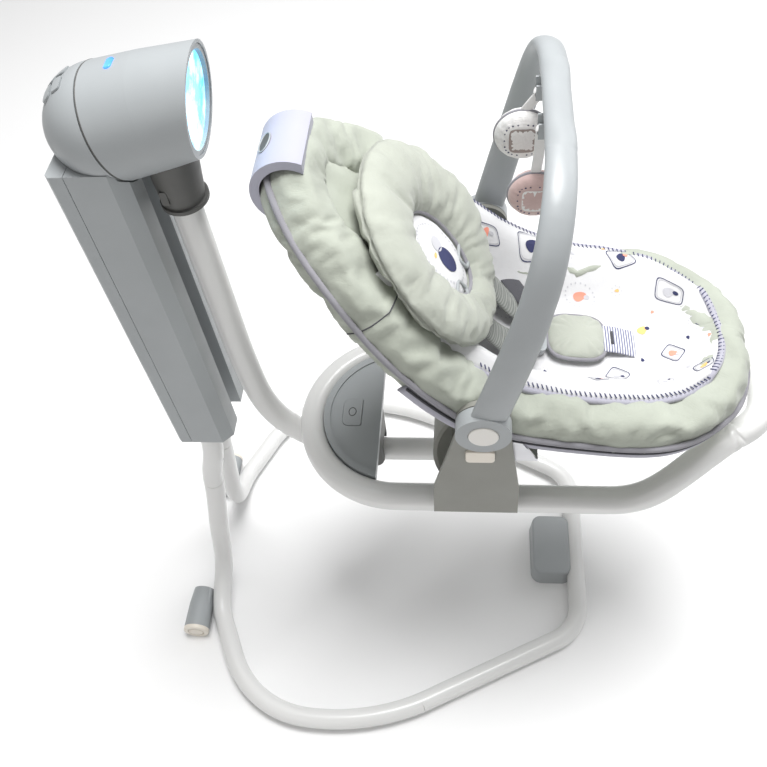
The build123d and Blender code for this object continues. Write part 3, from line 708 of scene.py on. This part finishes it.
BOX_CORNERS = [(x, y, z) for z in (0, 1) for x, y in ((-1, -1), (1, -1), (1, 1), (-1, 1))]
BOX_FACES = [(0, 1, 2, 3), (4, 5, 6, 7), (0, 1, 5, 4), (1, 2, 6, 5), (2, 3, 7, 6), (3, 0, 4, 7)]
STITCH_SPACING = 4.6
STITCH_LENGTH = 6.5
STITCH_HALF_WIDTH = 0.55
STITCH_HEIGHT = 0.8


def stitch_row(name, route, finish):
    """Whip stitches laid across the pad's edge."""
    groups = []
    travelled = 0.0
    for i in range(1, len(route)):
        step = (route[i] - route[i - 1]).length
        travelled += step
        if travelled < STITCH_SPACING:
            continue
        travelled = 0.0
        forward = (route[i] - route[i - 1]).normalized()
        up = seat_normal(route[i])
        side = forward.cross(up).normalized()
        slant = (side + forward * 0.35).normalized()
        middle = route[i] + up * 0.1
        corners = []
        for along, wide, high in BOX_CORNERS:
            flat = slant * along * STITCH_LENGTH / 2 + forward * wide * STITCH_HALF_WIDTH
            corners.append(middle + flat + up * high * STITCH_HEIGHT)
        groups.append((corners, BOX_FACES))
    join_meshes(name, groups, finish, "seat")


near_stitches = [pad_place(0.3 + 0.7 * k / 500, -0.965, 0.2) for k in range(501)]
front_stitches = [pad_place(0.993, -0.93 + 1.86 * k / 260, 0.2) for k in range(261)]
far_stitches = [pad_place(0.99 - 0.74 * k / 500, 0.965, 0.2) for k in range(501)]
for index, route in enumerate((near_stitches, front_stitches, far_stitches)):
    stitch_row(f"whip_stitches_{index + 1}", route, navy_thread)


# ---- printed shapes, all generic ----
def fan(count):
    """Triangles from a ring of points to the middle point that follows them."""
    return [(k, (k + 1) % count, count) for k in range(count)]


def printed(u, v, points, lift):
    """Carries flat pattern points in millimetres round a place onto the pad."""
    forward = (pad_place(u + 0.01, v) - pad_place(u - 0.01, v)).length / 0.02
    side = (pad_place(u, v + 0.02) - pad_place(u, v - 0.02)).length / 0.04
    places = []
    for x, y in points:
        places.append(pad_place(u + x / forward, min(0.999, max(-0.999, v + y / side)), lift))
    return places


def turned(points, angle):
    """Turns flat points by degrees."""
    c = math.cos(math.radians(angle))
    s = math.sin(math.radians(angle))
    return [(x * c - y * s, x * s + y * c) for x, y in points]


def blob(
    u, v, half_x, half_y, angle, power=2.0, squeeze=0.0, count=28, offset=(0, 0), lift=0.55
):
    """A filled shape on the pad."""
    flat = []
    for x, y in ellipse_outline(0, 0, half_x, half_y, count, power):
        flat.append((x + offset[0], y * (1 - squeeze * x / half_x) + offset[1]))
    flat.append((offset[0], offset[1]))
    verts = printed(u, v, turned(flat, angle), lift)
    return verts, fan(count)


def band(u, v, half_x, half_y, width, angle, power, count=40):
    """An outline shape on the pad."""
    outer = ellipse_outline(0, 0, half_x, half_y, count, power)
    inner = ellipse_outline(0, 0, half_x - width, half_y - width, count, power)
    verts = printed(u, v, turned(outer + inner, angle), 0.6)
    faces = []
    for k in range(count):
        right = (k + 1) % count
        faces.append((k, right, count + right, count + k))
    return verts, faces


def dots(u, v, half_x, half_y, size, count, angle=0):
    """A ring of dots."""
    result = []
    for x, y in turned(ellipse_outline(0, 0, half_x, half_y, count), angle):
        result.append(blob(u, v, size, size, 0, count=8, offset=(x, y), lift=0.6))
    return result


prints = {color: [] for color in ink}
# each frame's u, v, turn in degrees, and its size each way before FRAME_SHRINK
FRAMES = [
    (0.30, 0.70, 20, 38, 16), (0.36, 0.28, -25, 30, 20), (0.47, 0.80, 12, 30, 22),
    (0.55, -0.10, 35, 20, 15), (0.60, 0.52, -15, 27, 19), (0.68, -0.45, -28, 18, 15),
    (0.72, 0.86, 25, 24, 17), (0.76, 0.18, 15, 22, 17), (0.84, -0.15, -35, 17, 13),
    (0.86, 0.62, -12, 24, 18), (0.93, 0.28, 28, 17, 13), (0.93, -0.55, 15, 18, 13),
    (0.22, 0.88, -10, 24, 18), (0.80, -0.78, 20, 14, 10), (0.62, -0.72, 30, 15, 11),
]
FRAME_SHRINK = (0.62, 0.72)
BODY_INKS = ("coral", "grey", "navy", "amber")
DETAIL_INKS = ("grey", "navy", "coral", "navy")
LOOSE_INKS = ("amber", "coral", "navy", "grey")
for k, (u, v, angle, size_x, size_y) in enumerate(FRAMES):
    size_x *= FRAME_SHRINK[0]
    size_y *= FRAME_SHRINK[1]
    if k % 3 == 1:
        prints["grey"] += dots(u, v, size_x, size_y, 1.0, 18, angle)
    else:
        prints["navy"].append(band(u, v, size_x, size_y, 0.9, angle, 5))
        prints["grey"].append(band(u, v, size_x - 2, size_y - 2, 0.7, angle, 5))
    body_shape = blob(u, v, size_x * 0.46, size_y * 0.36, angle + 40, 2.2, 0.35)
    prints[BODY_INKS[k % 4]].append(body_shape)
    beside = (size_x * 0.45, size_y * 0.1)
    detail = blob(u, v, size_x * 0.2, size_y * 0.2, angle, 2, 0.0, 18, beside, 0.7)
    prints[DETAIL_INKS[k % 4]].append(detail)
LOOSE = [
    (0.42, 0.52), (0.52, 0.38), (0.50, -0.45), (0.66, 0.08), (0.70, 0.58), (0.80, 0.42),
    (0.89, 0.05), (0.58, 0.82), (0.34, 0.02), (0.25, 0.52), (0.75, -0.22), (0.88, -0.42),
    (0.67, 0.95), (0.95, 0.02),
]
for k, (u, v) in enumerate(LOOSE):
    prints[LOOSE_INKS[k % 4]].append(blob(u, v, 2.6, 1.6, k * 47, 2, 0.6))
    prints["grey"] += dots(u, v, 5.5, 5.5, 0.55, 7)
for color, groups in prints.items():
    join_meshes(f"prints_{color}", groups, ink[color], "seat")


# ===== back lining =====
LINING_ROWS = 60
LINING_COLUMNS = 30
LINING_HALF_WIDTH = 96
LINING_LINE = [
    spot(-150, 0, 201), spot(-108, 0, 143), spot(-66, 0, 84), spot(-30, 0, 22), spot(5, 0, -32),
    spot(60, 0, -58), spot(120, 0, -68), spot(190, 0, -74), spot(240, 0, -70),
]
lining_curve = smooth_path(LINING_LINE, 20)


def lining_point(row, share, layer_lift):
    """A point of the lining, which narrows to the head and the foot and is folded by the head."""
    middle = curve_at(lining_curve, row / (LINING_ROWS - 1))
    taper = 1 - 0.62 * max(0, 1 - row / 22) ** 1.4 - 0.4 * max(0, row - 50) / 9
    place = middle + Vector((0, share * LINING_HALF_WIDTH * taper, 0))
    fold = 1.5 * math.sin(place.y * 0.16 + 2.5 * bumpy(place, 60, 3)) * max(0, 1 - row / 24)
    lift = layer_lift * 2 - 8 * abs(share) ** 3 + 1.5 * bumpy(place, 30, 8) + fold
    return place + seat_normal(place) * lift


lining_verts = layers(LINING_ROWS, LINING_COLUMNS, lining_point)
lining_faces = sheet_faces(LINING_ROWS, LINING_COLUMNS)
lining = make_piece("seat_lining", lining_verts, lining_faces, sage_cloth, "seat")
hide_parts("seat_deck")


# ===== head pillow =====
def pillow_crest(angle):
    """Half width of the bolster at an angle round the oval; it is slimmer towards the hip."""
    return 1.0 - 0.35 * max(0, -math.sin(angle)) ** 2


PILLOW_ROWS = 120
PILLOW_SIDES = 30
PILLOW_THICK = 23
PILLOW_LIFT = 46
OVAL_ACROSS = 41
OVAL_UP = 51
OVAL_THICK = 9
OVAL_LIFT = 36
oval_centre = Vector((0, 136))
pillow_verts = []
for row in range(PILLOW_ROWS):
    angle = 2 * math.pi * row / PILLOW_ROWS
    c = math.cos(angle)
    s = math.sin(angle)
    inner = Vector((40 * c, 50 * s))
    outer = Vector((103 * math.copysign(abs(c) ** 0.9, c), 104 * s if s > 0 else 92 * s))
    for column in range(PILLOW_SIDES):
        around = 2 * math.pi * column / PILLOW_SIDES
        across_share = 0.5 - 0.5 * math.cos(around)
        flat = oval_centre + Vector((0, 12)) * across_share + inner.lerp(outer, across_share)
        thick = PILLOW_THICK * pillow_crest(angle)
        rise = thick * math.copysign(abs(math.sin(around)) ** 0.85, math.sin(around))
        here = Vector((flat.x, flat.y, rise))
        pinch = abs(math.cos(around)) ** 3
        folds = math.sin(angle * 19 + 3 * bumpy(here, 50))
        folds += 0.8 * math.sin(angle * 31 + 4 * bumpy(here, 38, 2))
        rise *= 1 + 0.07 * folds * (0.2 + pinch) + 0.10 * bumpy(here, 30, 7)
        if rise <= 0:
            rise *= 0.8
        base = PILLOW_LIFT - 8 * (1 - across_share)
        pillow_verts.append(on_back(flat.x, flat.y, base + rise))
pillow = make_piece(
    "pillow_bolster", pillow_verts, grid_faces(PILLOW_ROWS, PILLOW_SIDES, True, True), sage_soft,
    "seat",
)
pillow_pins = {}
for row in range(PILLOW_ROWS):
    for column in (0, 1, PILLOW_SIDES - 1, PILLOW_SIDES // 2):
        pillow_pins[row * PILLOW_SIDES + column] = 1.0
settle(pillow, pillow_pins, 2.5, -0.08, 7)
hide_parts("head_pillow")
pillow_seam = pillow_verts[PILLOW_SIDES // 2 :: PILLOW_SIDES]
tube("pillow_outer_piping", pillow_seam, 2.4, sage_soft, "seat", True, 8, 1.0, BACK_OUT)


def on_oval(x, y, lift):
    """A place on the seat back from the middle of the oval."""
    return on_back(oval_centre.x + x, oval_centre.y + y, lift)


oval_seam = [on_oval(x, y, 42) for x, y in ellipse_outline(0, 0, OVAL_ACROSS, OVAL_UP, 90)]
tube("oval_piping", oval_seam, 2.2, piping_cloth, "seat", True, 8, 1.0, BACK_OUT)
oval = cushion(
    "pillow_oval", ellipse_outline(oval_centre.x, oval_centre.y, OVAL_ACROSS, OVAL_UP, 72),
    lambda x, y, lift: on_back(x, y, OVAL_LIFT + lift), OVAL_THICK, white_cloth, "seat",
    wrinkle=0.5,
)


def oval_height(x, y):
    """Height of the oval cushion's top over a pattern point."""
    reach = math.hypot(x / OVAL_ACROSS, y / OVAL_UP)
    return OVAL_LIFT + OVAL_THICK * max(0, 1 - min(1, reach) ** CUSHION_PUFF) ** 0.5


oval_dots = []
for x, y in ellipse_outline(0, 0, 28, 37, 40):
    ring = []
    for px, py in ellipse_outline(x, y, 1.3, 1.3, 8):
        ring.append(on_oval(px, py, oval_height(px, py) + 0.4))
    ring.append(on_oval(x, y, oval_height(x, y) + 0.6))
    oval_dots.append((ring, fan(8)))
join_meshes("oval_dotted_ring", oval_dots, ink["grey"], "seat")


def oval_shape(across, up, half_x, half_y, color, name):
    """A filled shape on the oval."""
    points = []
    for x, y in ellipse_outline(across, up, half_x, half_y, 24) + [(across, up)]:
        points.append(on_oval(x, y, oval_height(x, y) + 0.5))
    join_meshes(name, [(points, fan(24))], color, "seat")


oval_shape(-3, -8, 12, 15, ink["navy"], "oval_print_body")
oval_shape(4, 10, 9, 8, ink["grey"], "oval_print_top")
oval_shape(-12, 10, 3.4, 2, ink["amber"], "oval_print_tip")


# ===== harness =====
SHOULDER_START = 8
SHOULDER_POINTS = 48


def flat_strap(i, angle):
    """A flat strap's section."""
    return 11 * math.cos(angle), 1.1 * math.sin(angle)


def ribbed(i, angle):
    """A shoulder pad's section, ribbed along its length and rounded at its ends."""
    share = i / (SHOULDER_POINTS - 1) * 2 - 1
    wide = 17 * (1 - abs(share) ** 8) ** 0.5 + 0.3
    high = (4.2 + 0.9 * abs(math.sin(i * 0.9))) * (1 - abs(share) ** 6) ** 0.5
    return wide * math.cos(angle), high * math.sin(angle) + 1


for side in (-1, 1):
    route = smooth_path(
        [
            on_back(side * 26, 118, 24), on_back(side * 29, 84, 38), on_back(side * 32, 40, 36),
            on_back(side * 26, 6, 38), on_back(side * 18, -16, 46),
        ],
        16,
    )
    label = "left" if side > 0 else "right"
    swept(
        f"harness_strap_{label}", route, lambda i: BACK_OUT, flat_strap, 16, webbing, "seat",
    )
    shoulder_pad = swept(
        f"shoulder_pad_{label}", route[SHOULDER_START : SHOULDER_START + SHOULDER_POINTS],
        lambda i: BACK_OUT, ribbed, 24, strap_cloth, "seat",
    )
    if side < 0:
        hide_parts("shoulder_straps")
    for k, up in enumerate((100, 76)):
        slider = f"slider_{label}_{k + 1}"
        ring = [on_back(side * 28 + x, up + y, 43) for x, y in ellipse_outline(0, 0, 14, 8, 40, 5)]
        tube(slider, ring, 2.0, grey_plastic, "seat", True, 8, 0.8, BACK_OUT)
    waist = smooth_path(
        [
            spot(20, side * 84, -20), spot(34, side * 58, -22), spot(46, side * 36, -22),
            spot(51, side * 24, -28),
        ],
        14,
    )
    swept(
        f"waist_strap_{label}", waist, lambda i: Vector((0.3, 0, 1)), flat_strap, 16, webbing,
        "seat",
    )

crotch_low, crotch_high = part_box("crotch_pad")
crotch_middle = (crotch_low + crotch_high) / 2 / MM
crotch_up = Vector((0.12, 0, 0.99)).normalized()
crotch_along = Vector((0.99, 0, -0.12)).normalized()
CROTCH_POINTS = 72


def on_crotch(x, y, lift):
    """A place on the crotch pad: along, left and up from its middle."""
    return crotch_middle + crotch_along * x + Vector((0, y, 0)) + crotch_up * (lift - 2)


crotch = cushion(
    "crotch_cushion", ellipse_outline(0, 0, 31, 30, CROTCH_POINTS, 3.2), on_crotch, 11, sage_soft,
    "seat", wrinkle=1.6,
)
settle(crotch, {k: 1.0 for k in range(CROTCH_POINTS)}, 2.0, -0.05, 4)
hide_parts("crotch_pad")
crotch_seam = [on_crotch(x, y, 0) for x, y in ellipse_outline(0, 0, 31.5, 30.5, 80, 3.2)]
tube("crotch_piping", crotch_seam, 2.2, piping_cloth, "seat", True, 8, 1.0, crotch_up)

TONGUE_UP = Vector((0.15, 0, 1))
TONGUE_LINE = [(28, 0, -4), (44, 0, -7), (62, 0, -14)]


def tongue_section(i, angle):
    """The tongue's section, nearly square at its sides."""
    c = math.cos(angle)
    return 18 * math.copysign(abs(c) ** 0.4, c), 2.6 * math.sin(angle)


tongue_path = smooth_path([crotch_middle + Vector(p) for p in TONGUE_LINE], 10)
tongue = swept(
    "crotch_tongue", tongue_path, lambda i: TONGUE_UP, tongue_section, 24, tongue_cloth, "seat",
)
tube(
    "tongue_slot", [crotch_middle + Vector((38, y, -3.2)) for y in (-9, -4, 0, 4, 9)], 2.0,
    webbing, "seat", squash=0.5, up=TONGUE_UP,
)


# ===== hem bands =====
for label, start, end in (("right", 0.60, 0.80), ("left", 0.20, 0.40)):
    swept(
        f"hem_band_{label}", along_border(-0.86, -21, start, end), lambda i: Vector((0, 0, 1)),
        lambda i, angle: (2.2 * math.cos(angle), 7 * math.sin(angle)), 12, lilac_band, "seat",
    )
    hem_line = along_border(-0.99, -15, start, end)
    tube(f"hem_line_{label}", hem_line, 1.5, webbing, "seat")


# ===== hanging toys =====
TOY_THICK = 11
TOY_RINGS = 12


def toy_height(reach):
    """Half thickness of a toy at a share of its radius."""
    return TOY_THICK * (1 - reach ** 3.2) ** 0.5


def toy(number, node, middle, radius, finish, patch, pin):
    """A stuffed disc with a sewn patch, a rim line and its strap over the pin."""
    body = f"toy_{number}"
    rim_path = ellipse_outline(0, 0, radius, radius, 64)
    plush_verts = []
    count = len(rim_path)
    for layer in (1, -1):
        for ring in range(TOY_RINGS):
            share = math.sin((1 - ring / TOY_RINGS) * math.pi / 2)
            thick = toy_height(share)
            for k, (x, z) in enumerate(rim_path):
                fold = 0.6 * math.sin(k * 2 * math.pi * 17 / count) * share ** 4 * (1 - share ** 12)
                place = Vector((x * share, -layer * (thick + fold), z * share))
                plush_verts.append(middle + place)
        plush_verts.append(middle + Vector((0, -layer * TOY_THICK, 0)))
    faces = disc_layer_faces(count, TOY_RINGS)
    plush = make_piece(f"toy_plush_{number}", plush_verts, faces, finish, body)
    settle(plush, {k: 1.0 for k in range(count)}, 1.5, -0.05, 3)
    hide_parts(node)
    seam_outline = ellipse_outline(0, 0, radius + 0.6, radius + 0.6, 64)
    seam = [middle + Vector((x, 0, z)) for x, z in seam_outline]
    rim = f"toy_rim_{number}"
    tube(rim, seam, 1.6, piping_cloth, body, True, 8, 1.0, Vector((0, 1, 0)))
    groups = []
    for layer in (1, -1):
        corners = []
        for x, z in ellipse_outline(0, 0, radius * 0.5, radius * 0.52, 32, 5):
            reach = math.hypot(x, z) / radius
            corners.append(middle + Vector((x, -layer * (toy_height(reach) + 0.7), z)))
        corners.append(middle + Vector((0, -layer * (TOY_THICK + 1), 0)))
        groups.append((corners, fan(32)))
    join_meshes(f"toy_patch_{number}", groups, patch, body)
    spots = []
    for layer in (1, -1):
        for x, z in ellipse_outline(0, 0, radius * 0.66, radius * 0.66, 22, 3):
            reach = math.hypot(x, z) / radius
            place = middle + Vector((x, -layer * (toy_height(reach) + 0.5), z))
            ring = [place + Vector((px, 0, pz)) for px, pz in ellipse_outline(0, 0, 0.9, 0.9, 6)]
            spots.append((ring, [tuple(range(6))]))
    join_meshes(f"toy_stitches_{number}", spots, navy_thread, body)
    top = middle + Vector((0, 0, radius - 2))
    swept(
        f"toy_ribbon_{number}",
        smooth_path([top, top.lerp(pin, 0.5) + Vector((0.8, 0, 0)), pin - Vector((0, 0, 3))], 12),
        lambda i: Vector((0, -1, 0)),
        lambda i, angle: (4.5 * math.cos(angle), 1.1 * math.sin(angle)), 12, plush_white, body,
    )
    loop = [pin + Vector((3.4 * c, 0, 3.4 * s)) for c, s in ellipse_outline(0, 0, 1, 1, 24)]
    swept(
        f"toy_loop_{number}", loop, lambda i: Vector((0, 1, 0)),
        lambda i, angle: (0.9 * math.cos(angle), 4 * math.sin(angle)), 10, plush_white, body,
        True,
    )


TOYS = ((1, 24, plush_white, patch_brown), (2, 22, plush_blush, plush_white))
for number, radius, finish, patch in TOYS:
    low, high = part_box(f"toy_disc_{number}")
    low, high = low / MM, high / MM
    middle = Vector((low.x + radius, (low.y + high.y) / 2, low.z + radius))
    pin = Vector((HUB.x + 45, middle.y, high.z - 4.6))
    toy(number, f"toy_disc_{number}", middle, radius, finish, patch, pin)


# ===== small details on the hard parts =====
HEAD_TILT = math.radians(13.2)
HEAD_AXIS = Vector((math.cos(HEAD_TILT), 0, math.sin(HEAD_TILT)))
HEAD_UP = Vector((-math.sin(HEAD_TILT), 0, math.cos(HEAD_TILT)))
HEAD = spot(-319, 0, 250)
HEAD_RADIUS = 51.5
BARREL_LENGTH = 104
BARREL_TAPER = 7.5
ICON_ALONG = 32
ICON_TURN = 8.5


def on_head(along, around, radius):
    """A place on the head: along its axis, degrees round from the top towards the right side."""
    angle = math.radians(around)
    up = HEAD_UP * radius * math.cos(angle)
    left = Vector((0, 1, 0)) * radius * math.sin(angle)
    return HEAD + HEAD_AXIS * along + up - left


def head_radius(along):
    """Radius of the tapering barrel."""
    return HEAD_RADIUS - BARREL_TAPER * max(0, along) / BARREL_LENGTH


seam_ring = [on_head(0.5, 360 * k / 96, 50.9) for k in range(96)]
tube("head_seam", seam_ring, 0.9, dark_plastic, "base", True, 8, 1.0, HEAD_AXIS)
icons = []
for k in range(5):
    ring = []
    for x, y in ellipse_outline(0, 0, 1.7, 1.7, 12, 2 + k % 3):
        # 57.3 / 49 turns millimetres round the barrel into degrees
        around = 6 + k * ICON_TURN + y * 57.3 / 49
        ring.append(on_head(ICON_ALONG + x, around, head_radius(ICON_ALONG) + 0.3))
    icons.append((ring, [tuple(range(12))]))
join_meshes("status_icons", icons, dark_plastic, "swing")

panel_low, panel_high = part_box("release_button")
panel_low, panel_high = panel_low / MM, panel_high / MM
button_middle = (panel_low + panel_high) / 2
UP = Vector((0, 0, 1))


def button_ring(outline, lift):
    """An outline about the release button at a height over its top."""
    ring = []
    for x, y in outline:
        ring.append(Vector((button_middle.x + x, button_middle.y + y, panel_high.z + lift)))
    return ring


gap = button_ring(ellipse_outline(0, 0, 13.2, 21.2, 48, 5), -2.6)
tube("release_button_gap", gap, 0.7, dark_plastic, "rocker", True, 8, 1.0, UP)
mark = button_ring(ellipse_outline(0, 0, 4.5, 6, 30), 0.2)
tube(
    "release_button_mark", mark, 0.5, dark_plastic, "release_button", True, 6, 1.0, UP
)

BADGE_UP = Vector((-0.62, 0, 0.78)).normalized()
badge_centre = spot(-169, 0, 196) + BADGE_UP * 35.4
badge_side = Vector((0, 1, 0))
badge_across = BADGE_UP.cross(badge_side).normalized()


def badge_ring(half_side, half_across):
    """An ellipse on the handle about the badge's middle."""
    outline = ellipse_outline(0, 0, half_side, half_across, 40)
    return [badge_centre + badge_side * x + badge_across * y for x, y in outline]


rim = badge_ring(12, 7)
tube("handle_badge_rim", rim, 0.8, grey_plastic, "seat", True, 6, 1.0, BADGE_UP)
badge_face = (badge_ring(11.4, 6.4), [tuple(range(40))])
join_meshes("handle_badge", [badge_face], dark_plastic, "seat")


# ===== floor, light and camera =====
FLOOR = (0.9, 0.9, 0.9)
floor_material, floor_tree, floor_shader = new_material("studio_floor", FLOOR, 0.6, 0.2)
vary_color(floor_tree, floor_shader, FLOOR, 0.8, 0.01)
bpy.ops.mesh.primitive_plane_add(size=14, location=(0, 1, -0.0005))
floor = bpy.context.object
floor.name = "floor"
floor.data.materials.append(floor_material)


def area_light(name, location, target, size, watts, color=(1, 1, 1)):
    """A square soft light aimed at a place."""
    data = bpy.data.lights.new(name, "AREA")
    data.energy = watts
    data.size = size
    data.color = color
    light = bpy.data.objects.new(name, data)
    light.location = location
    light.rotation_euler = (Vector(target) - Vector(location)).to_track_quat("-Z", "Y").to_euler()
    bpy.context.scene.collection.objects.link(light)


AIM = (0, 0, 0.45)
area_light("key", (0.35, 0.35, 3.1), AIM, 1.5, 112)
area_light("fill", (-1.2, -2.4, 1.7), AIM, 2.0, 9, (1.0, 0.97, 0.93))
area_light("rim", (2.2, 1.6, 1.6), AIM, 1.6, 14, (0.95, 0.97, 1.0))
world = bpy.data.worlds.new("studio")
world.use_nodes = True
background = world.node_tree.nodes["Background"]
background.inputs["Color"].default_value = (1, 1, 1, 1)
background.inputs["Strength"].default_value = 0.36
bpy.context.scene.world = world
bpy.context.scene.view_settings.view_transform = "Standard"

# the camera looks down on the right-hand side of the seat
AZIMUTH = math.radians(10.11)
ELEVATION = math.radians(52.99)
ROLL = math.radians(-7.84)
flat = math.cos(ELEVATION)
look = Vector((-math.sin(AZIMUTH) * flat, math.cos(AZIMUTH) * flat, -math.sin(ELEVATION)))
level = Vector((math.cos(AZIMUTH), math.sin(AZIMUTH), 0))
above = level.cross(look)
camera_right = level * math.cos(ROLL) + above * math.sin(ROLL)
camera_up = above * math.cos(ROLL) - level * math.sin(ROLL)
camera_data = bpy.data.cameras.new("camera")
camera_data.sensor_width = 36
camera_data.lens = 39.9
camera_data.shift_x = -0.0087
camera_data.shift_y = 0.0029
camera_data.clip_start = 0.01
camera_data.clip_end = 30
camera = bpy.data.objects.new("camera", camera_data)
rows = Matrix((camera_right, camera_up, -look)).transposed().to_4x4()
camera.matrix_world = Matrix.Translation(spot(-3, -601.1, 679.2) * MM) @ rows
bpy.context.scene.collection.objects.link(camera)
bpy.context.scene.camera = camera
